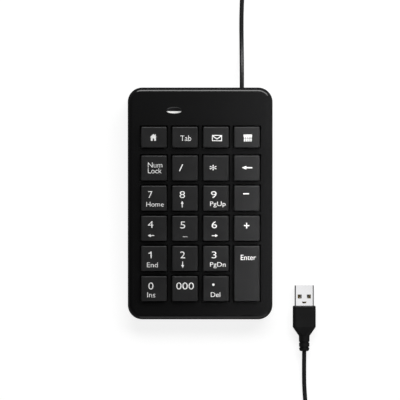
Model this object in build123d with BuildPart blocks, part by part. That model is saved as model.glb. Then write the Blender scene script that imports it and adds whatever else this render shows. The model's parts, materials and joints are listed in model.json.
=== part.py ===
from build123d import *
import math
import os

# Numeric keypad with 23 keys, a membrane switch stack and a USB cord.
# Millimetres. +Z is up, +Y runs to the rear, where the cord leaves, and +X is the user's right.
# The origin is on the table, under the middle of the case.
# Most of the inside is built on the sloping deck, so heights named *_H count from the deck's surface.

os.makedirs("parts", exist_ok=True)

# ---- case
BODY_W, BODY_L, CORNER_R = 90.5, 145.0, 9.0
TILT = math.radians(4)
DECK_MID_Z = 18.5
EDGE_R = 3.0
WALL, COVER_T, FLOOR_T = 2.0, 1.8, 1.8
FOOT_PROUD = 1.0
SEAM_Z, SEAM_GAP = 7.0, 0.15
LIP_H, LIP_T, LIP_GAP = 1.5, 0.9, 0.1
FLOOR_TOP = FOOT_PROUD + FLOOR_T

# ---- keys
COLUMN_PITCH, ROW_PITCH, TOP_ROW_PITCH = 19.37, 18.9, 19.3
COLUMNS_MID_X, BOTTOM_ROW_Y = 0.13, -53.22
KEY_W, KEY_D, TOP_KEY_D = 15.9, 15.5, 12.8
KEY_CORNER_R, KEY_EDGE_R = 0.8, 0.45
KEY_GAP = 0.9
CAP_H, ROOF_H, SKIRT_H = 2.8, 1.5, -1.3
CAP_WALL = 1.2
HOMING_BAR = (0.2, -5.2)
TRAVEL = 2.3
STEM, STEM_GAP, STEM_SLOT, STEM_SLOT_L = 5.0, 0.05, 1.4, 4.0
BARB_H, BARB_OUT, BARB_W = -5.65, 0.5, 2.4
STEM_END_H = -6.4
ROWS = (
    ("home", "tab", "mail", "calculator"),
    ("num_lock", "divide", "multiply", "backspace"),
    ("7", "8", "9", "minus"),
    ("4", "5", "6", "plus"),
    ("1", "2", "3", "enter"),
    ("0", "triple_zero", "decimal"),
)

# ---- the stack under the keys, from the frame down to the steel plate
MODULE_W, MODULE_FRONT, MODULE_REAR = 77.8, -62.8, 50.6
MODULE_L = MODULE_REAR - MODULE_FRONT
MODULE_Y = (MODULE_REAR + MODULE_FRONT) / 2
FRAME_TOP_H, FRAME_BOTTOM_H = -4.5, -5.6
CHIMNEY_H, CHIMNEY_W = -1.0, 7.6
DOME_TOP_H, SHEET_TOP_H, SHEET_BOTTOM_H = -6.43, -9.0, -9.4
MEMBRANE_T, PLATE_T = 0.15, 0.6
STACK_BOTTOM_H = SHEET_BOTTOM_H - 3 * MEMBRANE_T - PLATE_T
PLATE_SCREWS = [(COLUMNS_MID_X + x * COLUMN_PITCH, y) for x in (-1, 0, 1) for y in (-43.77, -5.97, 32.08)]
SCREW_R, SCREW_HOLE_R, SCREW_HEAD_R, SCREW_HEAD_T = 0.9, 0.95, 1.75, 0.9

# ---- Enter key's balancing wire, measured from the middle of that key
WIRE_R, WIRE_GAP = 0.5, 0.05
PIVOT_X, PIVOT_H, ARM_L = -5.2, -3.4, 7.0
ARM_ANGLE = math.asin(TRAVEL / ARM_L)
ARM_Y, PIN_Y, CLIP_Y = 14.2, 11.6, 12.4

# ---- controller board
BOARD_W, BOARD_D, BOARD_T = 51.0, 14.0, 1.2
BOARD_X, BOARD_Y = -4.5, 60.0
BOARD_TOP_H = SHEET_BOTTOM_H - 3 * MEMBRANE_T
CLAMP_X, CLAMP_Y, CLAMP_W, CLAMP_D = -1.0, 56.0, 24.0, 4.4
CLAMP_SCREWS = [(CLAMP_X + side * 10.0, CLAMP_Y) for side in (-1, 1)]
BOARD_RESTS = [(-27.0, 64.5), (8.0, 64.5)]
TAIL_W = 15.0
STRIP_T, BAR_T = 0.8, 1.0
HEADER_X, HEADER_Y = 17.5, 59.2
WIRE_PITCH = 1.5

# ---- status window
WINDOW_X, WINDOW_Y = -16.3, 58.45
WINDOW_RX, WINDOW_RY = 4.9, 2.45

# ---- screws and feet of the case
CASE_SCREWS = [(x, y) for x in (-38, 38) for y in (-66.5, 66.5)]
TOWER_TOP_Z, SEAT_Z = 5.5, 3.7
FEET = [(x, y) for x in (-35, 35) for y in (-53, 53)]
FOOT_R, FOOT_RECESS = 4.5, 0.6

# ---- cord and plug
CORD_D = 2.7
CORD_X, CORD_Z = 26.1, SEAM_Z
REAR_Y = BODY_L / 2
PLUG_X, PLUG_Z, PLUG_TIP_Y = 65.2, 4.0, -51.3
SHELL_W, SHELL_T, SHELL_WALL, SHELL_L = 12.0, 4.5, 0.3, 18.7
GRIP_FRONT_Y, GRIP_REAR_Y, NECK_FRONT_Y, NECK_END_Y = -64.0, -77.4, -82.8, -92.5
GRIP_W, GRIP_T = 14.4, 8.0

# ---- the put-away length, a flat hank of the cord behind the keypad
HANK_X, HANK_Y, HANK_BOTTOM_Z = 66.5, 152.0, 0.5
HANK_RUN, HANK_INNER_R, HANK_OUTER_R, HANK_LAYERS = 40.0, 8.3, 11.0, 3

deck = Plane(
    origin=(0, 0, DECK_MID_Z), x_dir=(1, 0, 0), z_dir=(0, -math.sin(TILT), math.cos(TILT))
)
DECK_UP = Axis(deck.origin, deck.z_dir)
MODULE_CENTRE = Location((0, MODULE_Y))


def on_deck(x, y, h=0.0):
    """A plane parallel to the deck, with its origin over the deck's point x, y."""
    return Plane(origin=deck.from_local_coords(Vector(x, y, h)), x_dir=(1, 0, 0), z_dir=deck.z_dir)


def across(x, y):
    """A plane that cuts the deck from front to back: its x is the deck's x, its y is height."""
    foot = on_deck(x, y)
    return Plane(origin=foot.origin, x_dir=(1, 0, 0), z_dir=-foot.y_dir)


def column_x(column):
    return COLUMNS_MID_X + (column - 1.5) * COLUMN_PITCH


def row_y(row):
    """Deck y of a row, counted from the rear. The rear row stands a little further off."""
    y = BOTTOM_ROW_Y + (5 - row) * ROW_PITCH
    return y + TOP_ROW_PITCH - ROW_PITCH if row == 0 else y


def key_layout():
    """Each key as name, x, y, width, depth on the deck."""
    for row, names in enumerate(ROWS):
        for column, name in enumerate(names):
            y, depth = row_y(row), TOP_KEY_D if row == 0 else KEY_D
            if name == "enter":
                y, depth = y - ROW_PITCH / 2, KEY_D + ROW_PITCH
            yield name, column_x(column), y, KEY_W, depth


KEYS = list(key_layout())
ENTER_X, ENTER_Y = next((x, y) for name, x, y, w, d in KEYS if name == "enter")


def save(builder, name):
    builder.part.label = name
    export_step(builder.part, f"parts/{name}.step")


# ---- top cover: the glossy shell with one opening for each key
with BuildPart() as cover_hollow:
    with BuildSketch(Plane.XY):
        RectangleRounded(BODY_W - 2 * WALL, BODY_L - 2 * WALL, CORNER_R - WALL)
    extrude(amount=40)
    split(bisect_by=deck.offset(-COVER_T), keep=Keep.BOTTOM)

with BuildPart() as cover_bosses:
    with BuildSketch(Plane.XY.offset(TOWER_TOP_Z)):
        with Locations(*CASE_SCREWS):
            Circle(2.8)
    extrude(amount=40)
    split(bisect_by=deck.offset(-COVER_T / 2), keep=Keep.BOTTOM)

with BuildPart() as top_cover:
    with BuildSketch(Plane.XY.offset(SEAM_Z)):
        RectangleRounded(BODY_W, BODY_L, CORNER_R)
    extrude(amount=40)
    split(bisect_by=deck, keep=Keep.BOTTOM)
    fillet(top_cover.faces().sort_by(DECK_UP)[-1].edges(), EDGE_R)
    add(cover_hollow.part, mode=Mode.SUBTRACT)
    # rebate for the bottom cover's lip
    with BuildSketch(Plane.XY.offset(SEAM_Z)):
        rebate = WALL - LIP_T - 2 * LIP_GAP
        RectangleRounded(BODY_W - 2 * rebate, BODY_L - 2 * rebate, CORNER_R - rebate)
    extrude(amount=LIP_H + LIP_GAP, mode=Mode.SUBTRACT)
    # rib that holds the key frame down
    with BuildSketch(deck.offset(-COVER_T)):
        with Locations(MODULE_CENTRE):
            Rectangle(MODULE_W + 0.6, MODULE_L + 0.6)
            Rectangle(MODULE_W - 1.4, MODULE_L - 1.4, mode=Mode.SUBTRACT)
    extrude(amount=FRAME_TOP_H + COVER_T)
    add(cover_bosses.part)
    with BuildSketch(Plane.XY.offset(TOWER_TOP_Z)):
        with Locations(*CASE_SCREWS):
            Circle(1.3)
    extrude(amount=5.6, mode=Mode.SUBTRACT)
    # key openings and the status window
    with BuildSketch(deck.offset(0.5)):
        for name, x, y, width, depth in KEYS:
            with Locations((x, y)):
                RectangleRounded(width + 2 * KEY_GAP, depth + 2 * KEY_GAP, KEY_CORNER_R)
        with Locations((WINDOW_X, WINDOW_Y)):
            Ellipse(WINDOW_RX, WINDOW_RY)
    extrude(amount=-COVER_T - 0.8, mode=Mode.SUBTRACT)
    # half of the cord's hole, with a seat for the grommet's collar
    with BuildSketch(Plane(origin=(CORD_X, REAR_Y, CORD_Z), x_dir=(1, 0, 0), z_dir=(0, -1, 0))):
        Circle(2.65)
    extrude(amount=4, mode=Mode.SUBTRACT)
    with BuildSketch(Plane(origin=(CORD_X, REAR_Y, CORD_Z), x_dir=(1, 0, 0), z_dir=(0, -1, 0))):
        Circle(3.25)
    extrude(amount=0.8, mode=Mode.SUBTRACT)
save(top_cover, "top_cover")

# ---- bottom cover: a tray with a lip, plate ribs, board posts and screw towers
with BuildPart() as plate_ribs:
    with BuildSketch(Plane.XY.offset(FLOOR_TOP - 0.5)):
        with Locations(*[(0, y) for y in (-57, -28, 8, 24, 45)]):
            Rectangle(70, 1.2)
        with Locations(*[(x, -6) for x in (-33, 33)]):
            Rectangle(1.2, 102)
    extrude(amount=20)
    split(bisect_by=deck.offset(STACK_BOTTOM_H), keep=Keep.BOTTOM)

with BuildPart() as bottom_cover:
    with BuildSketch(Plane.XY.offset(FOOT_PROUD)):
        RectangleRounded(BODY_W, BODY_L, CORNER_R)
    extrude(amount=SEAM_Z - SEAM_GAP - FOOT_PROUD)
    fillet(bottom_cover.faces().sort_by(Axis.Z)[0].edges(), 1.2)
    with BuildSketch(Plane.XY.offset(FLOOR_TOP)):
        RectangleRounded(BODY_W - 2 * WALL, BODY_L - 2 * WALL, CORNER_R - WALL)
    extrude(amount=SEAM_Z, mode=Mode.SUBTRACT)
    # lip that locates the top cover
    with BuildSketch(Plane.XY.offset(SEAM_Z - 2)):
        lip = WALL - LIP_T - LIP_GAP
        RectangleRounded(BODY_W - 2 * lip, BODY_L - 2 * lip, CORNER_R - lip)
        RectangleRounded(BODY_W - 2 * WALL, BODY_L - 2 * WALL, CORNER_R - WALL, mode=Mode.SUBTRACT)
    extrude(amount=LIP_H + 2)
    add(plate_ribs.part)
    # posts under the board, square to the deck, and the screw towers
    with BuildSketch(deck.offset(BOARD_TOP_H - BOARD_T)):
        with Locations(*CLAMP_SCREWS, *BOARD_RESTS):
            Circle(2.1)
    extrude(amount=-9.3)
    with BuildSketch(Plane.XY.offset(FOOT_PROUD + 0.5)):
        with Locations(*CASE_SCREWS):
            Circle(3.6)
    extrude(amount=TOWER_TOP_Z - FOOT_PROUD - 0.5)
    # saddle that holds the cord inside the rear wall
    with BuildSketch(Plane.XY.offset(FLOOR_TOP - 0.5)):
        with Locations((CORD_X, REAR_Y - 5.6)):
            Rectangle(6, 1.6)
    extrude(amount=CORD_Z - FLOOR_TOP + 0.5)
    # holes for the screws, from both sides
    with BuildSketch(deck.offset(BOARD_TOP_H - BOARD_T)):
        with Locations(*CLAMP_SCREWS):
            Circle(SCREW_HOLE_R)
    extrude(amount=-6.5, mode=Mode.SUBTRACT)
    with BuildSketch(Plane.XY):
        with Locations(*CASE_SCREWS):
            Circle(1.5)
    extrude(amount=TOWER_TOP_Z, mode=Mode.SUBTRACT)
    with BuildSketch(Plane.XY):
        with Locations(*CASE_SCREWS):
            Circle(2.7)
    extrude(amount=SEAT_Z, mode=Mode.SUBTRACT)
    # seats for the feet and the label
    with BuildSketch(Plane.XY.offset(FOOT_PROUD)):
        with Locations(*FEET):
            Circle(FOOT_R + 0.1)
    extrude(amount=FOOT_RECESS, mode=Mode.SUBTRACT)
    with BuildSketch(Plane.XY.offset(FOOT_PROUD)):
        RectangleRounded(46.2, 24.2, 1.6)
    extrude(amount=0.15, mode=Mode.SUBTRACT)
    # the other half of the cord's hole
    with BuildSketch(Plane(origin=(CORD_X, REAR_Y, CORD_Z), x_dir=(1, 0, 0), z_dir=(0, -1, 0))):
        Circle(2.65)
    extrude(amount=4, mode=Mode.SUBTRACT)
    with BuildSketch(Plane(origin=(CORD_X, REAR_Y, CORD_Z), x_dir=(1, 0, 0), z_dir=(0, -1, 0))):
        Circle(3.25)
    extrude(amount=0.8, mode=Mode.SUBTRACT)
    with BuildSketch(Plane(origin=(CORD_X, REAR_Y, CORD_Z), x_dir=(1, 0, 0), z_dir=(0, -1, 0))):
        Circle(CORD_D / 2 + 0.05)
    extrude(amount=8, mode=Mode.SUBTRACT)
save(bottom_cover, "bottom_cover")


# ---- keycaps: a hollow cap on a split square stem with two barbs
def make_keycap(name, x, y, width, depth):
    seat = on_deck(x, y)
    with BuildPart() as cap:
        with BuildSketch(seat.offset(SKIRT_H)):
            RectangleRounded(width, depth, KEY_CORNER_R)
        extrude(amount=CAP_H - SKIRT_H)
        fillet(cap.faces().sort_by(DECK_UP)[-1].edges(), KEY_EDGE_R)
        with BuildSketch(seat.offset(SKIRT_H)):
            Rectangle(width - 2 * CAP_WALL, depth - 2 * CAP_WALL)
        extrude(amount=ROOF_H - SKIRT_H, mode=Mode.SUBTRACT)
        with BuildSketch(seat.offset(STEM_END_H)):
            Rectangle(STEM, STEM)
        extrude(amount=ROOF_H - STEM_END_H)
        with BuildSketch(across(x, y)):
            for side in (-1, 1):
                Polygon(
                    (side * STEM / 2, BARB_H),
                    (side * (STEM / 2 + BARB_OUT), BARB_H),
                    (side * STEM / 2, STEM_END_H),
                    align=None,
                )
        extrude(amount=BARB_W / 2, both=True)
        with BuildSketch(seat.offset(STEM_END_H)):
            Rectangle(STEM_SLOT, STEM)
        extrude(amount=STEM_SLOT_L, mode=Mode.SUBTRACT)
        if name == "5":
            # homing bar for the middle finger
            with BuildSketch(seat.offset(CAP_H)):
                with Locations(HOMING_BAR):
                    SlotOverall(3.6, 0.8)
            extrude(amount=0.35)
            fillet(cap.faces().sort_by(DECK_UP)[-1].edges(), 0.3)
        if name == "enter":
            add_wire_clips(seat)
    save(cap, f"key_{name}")


def add_wire_clips(seat):
    """Two hooks under the Enter key, each with a slot that the wire's end slides in."""
    slot_x = PIVOT_X + ARM_L * (1 + math.cos(ARM_ANGLE)) / 2
    slot_h = PIVOT_H + ARM_L * math.sin(ARM_ANGLE)
    slot_w, slot_t, lip = 1.7, 2 * (WIRE_R + WIRE_GAP), 0.4
    bottom_h = slot_h - slot_t / 2 - lip
    places = [(slot_x, end * CLIP_Y) for end in (-1, 1)]
    with BuildSketch(seat.offset(bottom_h)) as hooks:
        with Locations(*places):
            Rectangle(slot_w + 1.3, 1.4)
    extrude(hooks.sketch, amount=ROOF_H - bottom_h)
    with BuildSketch(seat.offset(slot_h - slot_t / 2)) as slots:
        with Locations(*places):
            Rectangle(slot_w, 1.4)
    extrude(slots.sketch, amount=slot_t, mode=Mode.SUBTRACT)
    with BuildSketch(seat.offset(bottom_h)) as slits:
        with Locations(*places):
            Rectangle(0.8, 1.4)
    extrude(slits.sketch, amount=lip, mode=Mode.SUBTRACT)


for key in KEYS:
    make_keycap(*key)

# ---- key frame: a plate with one square chimney for each stem and the bosses for its screws
with BuildPart() as key_frame:
    with BuildSketch(deck.offset(FRAME_BOTTOM_H)):
        with Locations(MODULE_CENTRE):
            RectangleRounded(MODULE_W, MODULE_L, 1)
    extrude(amount=FRAME_TOP_H - FRAME_BOTTOM_H)
    with BuildSketch(deck.offset(FRAME_TOP_H)):
        with Locations(*[(x, y) for name, x, y, width, depth in KEYS]):
            RectangleRounded(CHIMNEY_W, CHIMNEY_W, 0.8)
    extrude(amount=CHIMNEY_H - FRAME_TOP_H)
    with BuildSketch(deck.offset(SHEET_TOP_H + 0.02)):
        with Locations(*PLATE_SCREWS):
            Circle(2.2)
    extrude(amount=FRAME_BOTTOM_H - SHEET_TOP_H)
    with BuildSketch(deck.offset(FRAME_BOTTOM_H)):
        with Locations(*[(x, y) for name, x, y, width, depth in KEYS]):
            Rectangle(STEM + 2 * STEM_GAP, STEM + 2 * STEM_GAP)
    extrude(amount=CHIMNEY_H - FRAME_BOTTOM_H, mode=Mode.SUBTRACT)
    with BuildSketch(deck.offset(SHEET_TOP_H)):
        with Locations(*PLATE_SCREWS):
            Circle(SCREW_HOLE_R)
    extrude(amount=4.2, mode=Mode.SUBTRACT)
    # bearings of the Enter key's wire: blocks with a bore and a snap-in slit on top
    with BuildSketch(on_deck(ENTER_X + PIVOT_X, ENTER_Y, FRAME_TOP_H)):
        with Locations((0, -8), (0, 8)):
            Rectangle(2.4, 2.4)
    extrude(amount=1.9)
    with BuildSketch(across(ENTER_X + PIVOT_X, ENTER_Y)):
        with Locations((0, PIVOT_H)):
            Circle(WIRE_R + WIRE_GAP)
    extrude(amount=10, both=True, mode=Mode.SUBTRACT)
    with BuildSketch(on_deck(ENTER_X + PIVOT_X, ENTER_Y, PIVOT_H)):
        Rectangle(0.7, 20)
    extrude(amount=1, mode=Mode.SUBTRACT)
save(key_frame, "key_frame")

# ---- Enter key's balancing wire: a bar in the frame, two arms, and a pin at each arm's end
tip_x = PIVOT_X + ARM_L * math.cos(ARM_ANGLE)
tip_h = PIVOT_H + ARM_L * math.sin(ARM_ANGLE)
wire_corners = [
    (tip_x, PIN_Y, tip_h),
    (tip_x, ARM_Y, tip_h),
    (PIVOT_X, ARM_Y, PIVOT_H),
    (PIVOT_X, -ARM_Y, PIVOT_H),
    (tip_x, -ARM_Y, tip_h),
    (tip_x, -PIN_Y, tip_h),
]
with BuildPart() as enter_stabilizer:
    with BuildLine() as wire_path:
        FilletPolyline(*[on_deck(ENTER_X + x, ENTER_Y + y, h).origin for x, y, h in wire_corners], radius=1.0)
    with BuildSketch(Plane(origin=wire_path.line @ 0, z_dir=wire_path.line % 0)):
        Circle(WIRE_R)
    sweep(path=wire_path.line)
save(enter_stabilizer, "enter_stabilizer")

# ---- silicone sheet with one dome under each stem
with BuildPart() as dome_sheet:
    with BuildSketch(deck.offset(SHEET_BOTTOM_H)):
        with Locations(MODULE_CENTRE):
            RectangleRounded(MODULE_W - 0.6, MODULE_L - 0.6, 1)
    extrude(amount=SHEET_TOP_H - SHEET_BOTTOM_H)
    with BuildSketch(deck.offset(SHEET_BOTTOM_H)):
        with Locations(*PLATE_SCREWS):
            Circle(1.3)
        with Locations(*[(x, y) for name, x, y, width, depth in KEYS]):
            Circle(3.4)
    extrude(amount=1, mode=Mode.SUBTRACT)
    for name, x, y, width, depth in KEYS:
        # wall, solid crown, and the pill that presses the contacts together
        with BuildSketch(across(x, y)) as dome_half:
            Polygon(
                (0, DOME_TOP_H),
                (2.3, DOME_TOP_H),
                (3.9, SHEET_TOP_H),
                (3.9, SHEET_BOTTOM_H),
                (3.4, SHEET_BOTTOM_H),
                (3.4, SHEET_TOP_H),
                (2.2, DOME_TOP_H - 0.9),
                (1.3, DOME_TOP_H - 0.9),
                (1.3, DOME_TOP_H - 1.4),
                (0, DOME_TOP_H - 1.4),
                align=None,
            )
        revolve(axis=Axis(on_deck(x, y).origin, deck.z_dir))
save(dome_sheet, "dome_sheet")


# ---- three membrane sheets: contacts, spacer with holes, contacts with the tail to the board
def membrane_sheet(number):
    """A plain sheet with clearance for the screws, number 0 on top."""
    with BuildSketch(deck.offset(SHEET_BOTTOM_H - (number + 1) * MEMBRANE_T)) as outline:
        with Locations(MODULE_CENTRE):
            RectangleRounded(MODULE_W - 0.6, MODULE_L - 0.6, 1)
        with Locations(*PLATE_SCREWS):
            Circle(1.3, mode=Mode.SUBTRACT)
        if number == 1:
            with Locations(*[(x, y) for name, x, y, width, depth in KEYS]):
                Circle(2.4, mode=Mode.SUBTRACT)
        if number == 2:
            with Locations((CLAMP_X, (MODULE_REAR + CLAMP_Y + CLAMP_D / 2) / 2 - 1)):
                Rectangle(TAIL_W, CLAMP_Y + CLAMP_D / 2 - MODULE_REAR + 2)
    extrude(outline.sketch, amount=MEMBRANE_T)


for number, name in enumerate(("membrane_top", "membrane_spacer", "membrane_bottom")):
    with BuildPart() as membrane:
        membrane_sheet(number)
    save(membrane, name)

# ---- steel plate under the membranes
with BuildPart() as base_plate:
    with BuildSketch(deck.offset(STACK_BOTTOM_H)):
        with Locations(MODULE_CENTRE):
            RectangleRounded(MODULE_W - 0.4, MODULE_L - 0.4, 1)
        with Locations(*PLATE_SCREWS):
            Circle(SCREW_HOLE_R, mode=Mode.SUBTRACT)
    extrude(amount=PLATE_T)
save(base_plate, "base_plate")


# ---- small self-tapping screws, all with a pan head and a cross recess
def add_screws(places, seat, out, shank_l):
    """Pan-head screws on the seat plane. out is +1 if the heads are above it and -1 if below."""
    with BuildSketch(seat) as heads:
        with Locations(*places):
            Circle(SCREW_HEAD_R)
    extrude(heads.sketch, amount=out * SCREW_HEAD_T)
    with BuildSketch(seat) as shanks:
        with Locations(*places):
            Circle(SCREW_R)
    extrude(shanks.sketch, amount=-out * shank_l)
    with BuildSketch(seat.offset(out * SCREW_HEAD_T)) as crosses:
        with Locations(*places):
            Rectangle(1.8, 0.4)
            Rectangle(0.4, 1.8)
    extrude(crosses.sketch, amount=-out * 0.5, mode=Mode.SUBTRACT)


with BuildPart() as plate_screws:
    add_screws(PLATE_SCREWS, deck.offset(STACK_BOTTOM_H), -1, 5.2)
save(plate_screws, "plate_screws")

with BuildPart() as clamp_screws:
    add_screws(CLAMP_SCREWS, deck.offset(BOARD_TOP_H + MEMBRANE_T + STRIP_T + BAR_T), 1, 8.5)
save(clamp_screws, "clamp_screws")

with BuildPart() as case_screws:
    with BuildSketch(Plane.XY.offset(SEAT_Z)):
        with Locations(*CASE_SCREWS):
            Circle(2.5)
    extrude(amount=-1.5)
    with BuildSketch(Plane.XY.offset(SEAT_Z)):
        with Locations(*CASE_SCREWS):
            Circle(1.25)
    extrude(amount=7)
    with BuildSketch(Plane.XY.offset(SEAT_Z - 1.5)):
        with Locations(*CASE_SCREWS):
            Rectangle(2.8, 0.6)
            Rectangle(0.6, 2.8)
    extrude(amount=0.9, mode=Mode.SUBTRACT)
save(case_screws, "case_screws")

# ---- controller board, what is on it, and the clamp that presses the membrane's tail on it
with BuildPart() as controller_board:
    with BuildSketch(deck.offset(BOARD_TOP_H - BOARD_T)):
        with Locations((BOARD_X, BOARD_Y)):
            RectangleRounded(BOARD_W, BOARD_D, 0.8)
        with Locations(*CLAMP_SCREWS):
            Circle(SCREW_HOLE_R + 0.2, mode=Mode.SUBTRACT)
    extrude(amount=BOARD_T)
save(controller_board, "controller_board")

with BuildPart() as controller_chip:
    with BuildSketch(deck.offset(BOARD_TOP_H)):
        with Locations((-4, 63)):
            Ellipse(4.2, 3.2)
    extrude(amount=1.6)
    fillet(controller_chip.faces().sort_by(DECK_UP)[-1].edges(), 1.2)
save(controller_chip, "controller_chip")

with BuildPart() as board_passives:
    with BuildSketch(deck.offset(BOARD_TOP_H)):
        with Locations(*[(x, 64.8) for x in (-25, -22, -19)]):
            Rectangle(1.25, 2)
        with Locations((5.5, 60.6), (8.5, 60.6)):
            Rectangle(2, 1.25)
    extrude(amount=0.6)
    with BuildSketch(deck.offset(BOARD_TOP_H)):
        with Locations((7, 64)):
            SlotOverall(8, 3.4)
    extrude(amount=3.2)
save(board_passives, "board_passives")

with BuildPart() as indicator_led:
    with BuildSketch(deck.offset(BOARD_TOP_H)):
        with Locations((WINDOW_X, WINDOW_Y)):
            Rectangle(3.2, 1.6)
    extrude(amount=0.5)
    with BuildSketch(deck.offset(BOARD_TOP_H + 0.5)):
        with Locations((WINDOW_X, WINDOW_Y)):
            Rectangle(2.2, 1.6)
    extrude(amount=0.6)
save(indicator_led, "indicator_led")

with BuildPart() as clamp_strip:
    with BuildSketch(deck.offset(BOARD_TOP_H + MEMBRANE_T)):
        with Locations((CLAMP_X, CLAMP_Y)):
            Rectangle(TAIL_W, 3)
    extrude(amount=STRIP_T)
save(clamp_strip, "clamp_strip")

with BuildPart() as clamp_bar:
    with BuildSketch(deck.offset(BOARD_TOP_H + MEMBRANE_T + STRIP_T)):
        with Locations((CLAMP_X, CLAMP_Y)):
            RectangleRounded(CLAMP_W, CLAMP_D, 1)
        with Locations(*CLAMP_SCREWS):
            Circle(SCREW_HOLE_R, mode=Mode.SUBTRACT)
    extrude(amount=BAR_T)
save(clamp_bar, "clamp_bar")

# header on the board, the plug that goes into it from the side, and the cord's four wires
with BuildPart() as cable_header:
    with BuildSketch(deck.offset(BOARD_TOP_H)):
        with Locations((HEADER_X, HEADER_Y)):
            Rectangle(6, 8)
    extrude(amount=4)
    with BuildSketch(deck.offset(BOARD_TOP_H + 0.8)):
        with Locations((HEADER_X + 1, HEADER_Y)):
            Rectangle(4, 6.6)
    extrude(amount=2.4, mode=Mode.SUBTRACT)
save(cable_header, "cable_header")

with BuildPart() as cable_connector:
    with BuildSketch(deck.offset(BOARD_TOP_H + 0.85)):
        with Locations((HEADER_X + 1.8, HEADER_Y)):
            Rectangle(5.4, 6.5)
    extrude(amount=2.3)
save(cable_connector, "cable_connector")

CONNECTOR_END_X = HEADER_X + 4.5
JACKET_END_Y = REAR_Y - 7.5
for number, colour in enumerate(("red", "white", "green", "black")):
    # the nearest wire turns up first, and the pair below passes under it
    side, below = (-1, 1)[number % 2], number // 2
    start_x, start_z = CORD_X + side * 0.55, CORD_Z + 0.55 - 1.1 * below
    end = on_deck(CONNECTOR_END_X, HEADER_Y + (1.5 - number) * WIRE_PITCH, BOARD_TOP_H + 2).origin
    with BuildPart() as wire:
        with BuildLine() as run:
            FilletPolyline(
                (start_x, JACKET_END_Y, start_z),
                (start_x, end.Y, start_z),
                (start_x, end.Y, end.Z),
                (CONNECTOR_END_X, end.Y, end.Z),
                radius=1.3,
            )
        with BuildSketch(Plane(origin=run.line @ 0, z_dir=run.line % 0)):
            Circle(0.5)
        sweep(path=run.line)
    save(wire, f"wire_{colour}")

# ---- status window: an oval light pipe with a dished face, flush in the deck
with BuildPart() as led_window:
    with BuildSketch(deck.offset(-COVER_T - 0.7)):
        with Locations((WINDOW_X, WINDOW_Y)):
            Ellipse(WINDOW_RX + 0.8, WINDOW_RY + 0.8)
    extrude(amount=0.65)
    with BuildSketch(deck.offset(-COVER_T - 0.7)):
        with Locations((WINDOW_X, WINDOW_Y)):
            Ellipse(WINDOW_RX - 0.05, WINDOW_RY - 0.05)
    extrude(amount=COVER_T + 0.65)
    with BuildSketch(deck.offset(-COVER_T - 0.7)):
        with Locations((WINDOW_X, WINDOW_Y)):
            Circle(1.7)
    extrude(amount=BOARD_TOP_H + COVER_T + 0.7 + 1.4)
    dish = scale(
        Sphere(1, mode=Mode.PRIVATE), by=(WINDOW_RX - 0.35, WINDOW_RY - 0.35, 1.1), mode=Mode.PRIVATE
    )
    add(on_deck(WINDOW_X, WINDOW_Y, -0.05).location * dish, mode=Mode.SUBTRACT)
save(led_window, "led_window")

# ---- feet and label
with BuildPart() as rubber_feet:
    with BuildSketch(Plane.XY):
        with Locations(*FEET):
            Circle(FOOT_R)
    extrude(amount=FOOT_PROUD + FOOT_RECESS)
    fillet(rubber_feet.faces().group_by(Axis.Z)[0].edges(), 0.4)
save(rubber_feet, "rubber_feet")

with BuildPart() as rating_label:
    with BuildSketch(Plane.XY.offset(FOOT_PROUD + 0.05)):
        RectangleRounded(46, 24, 1.5)
    extrude(amount=0.1)
save(rating_label, "rating_label")

# ---- grommet and the cord's end inside the case
with BuildPart() as cord_grommet:
    with BuildSketch(Plane(origin=(CORD_X, REAR_Y, CORD_Z), x_dir=(1, 0, 0), z_dir=(0, -1, 0))):
        Circle(3.2)
    extrude(amount=0.8)
    with BuildSketch(Plane(origin=(CORD_X, REAR_Y, CORD_Z), x_dir=(1, 0, 0), z_dir=(0, -1, 0))):
        Circle(2.6)
    extrude(amount=2.2)
    with BuildSketch(
        Plane(origin=(CORD_X, REAR_Y - WALL - 0.1, CORD_Z), x_dir=(1, 0, 0), z_dir=(0, -1, 0))
    ):
        Circle(3.6)
    extrude(amount=1.2)
    with BuildSketch(Plane(origin=(CORD_X, REAR_Y, CORD_Z), x_dir=(1, 0, 0), z_dir=(0, -1, 0))):
        Circle(CORD_D / 2 + 0.03)
    extrude(amount=4, mode=Mode.SUBTRACT)
save(cord_grommet, "cord_grommet")

with BuildPart() as cord_inside:
    with BuildSketch(Plane(origin=(CORD_X, REAR_Y, CORD_Z), x_dir=(1, 0, 0), z_dir=(0, -1, 0))):
        Circle(CORD_D / 2)
    extrude(amount=REAR_Y - JACKET_END_Y)
save(cord_inside, "cord_inside")

# ---- USB plug, lying on the table with its tip to the rear
plug_face = Plane(origin=(PLUG_X, PLUG_TIP_Y, PLUG_Z), x_dir=(1, 0, 0), z_dir=(0, -1, 0))
with BuildPart() as plug_shell:
    with BuildSketch(plug_face):
        RectangleRounded(SHELL_W, SHELL_T, 0.9)
        RectangleRounded(SHELL_W - 2 * SHELL_WALL, SHELL_T - 2 * SHELL_WALL, 0.6, mode=Mode.SUBTRACT)
    extrude(amount=SHELL_L)
    # spring windows in both wide faces, and the folded seam's notch in the upper one
    with BuildSketch(Plane.XY):
        with Locations((PLUG_X - 2.86, PLUG_TIP_Y - 6.95), (PLUG_X + 2.86, PLUG_TIP_Y - 6.95)):
            Rectangle(2.5, 2.5)
    extrude(amount=10, mode=Mode.SUBTRACT)
    with BuildSketch(Plane.XY.offset(PLUG_Z)):
        with Locations((PLUG_X, PLUG_TIP_Y - 10.7)):
            Trapezoid(3.1, 1.1, 60, rotation=180)
    extrude(amount=3, mode=Mode.SUBTRACT)
save(plug_shell, "plug_shell")

with BuildPart() as plug_insulator:
    with BuildSketch(plug_face.offset(0.5)):
        with Locations((0, -1.04)):
            Rectangle(10.2, 1.8)
    extrude(amount=17.5)
    with BuildSketch(plug_face.offset(13.4)):
        RectangleRounded(11.0, 3.7, 0.6)
    extrude(amount=4.6)
save(plug_insulator, "plug_insulator")

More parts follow.
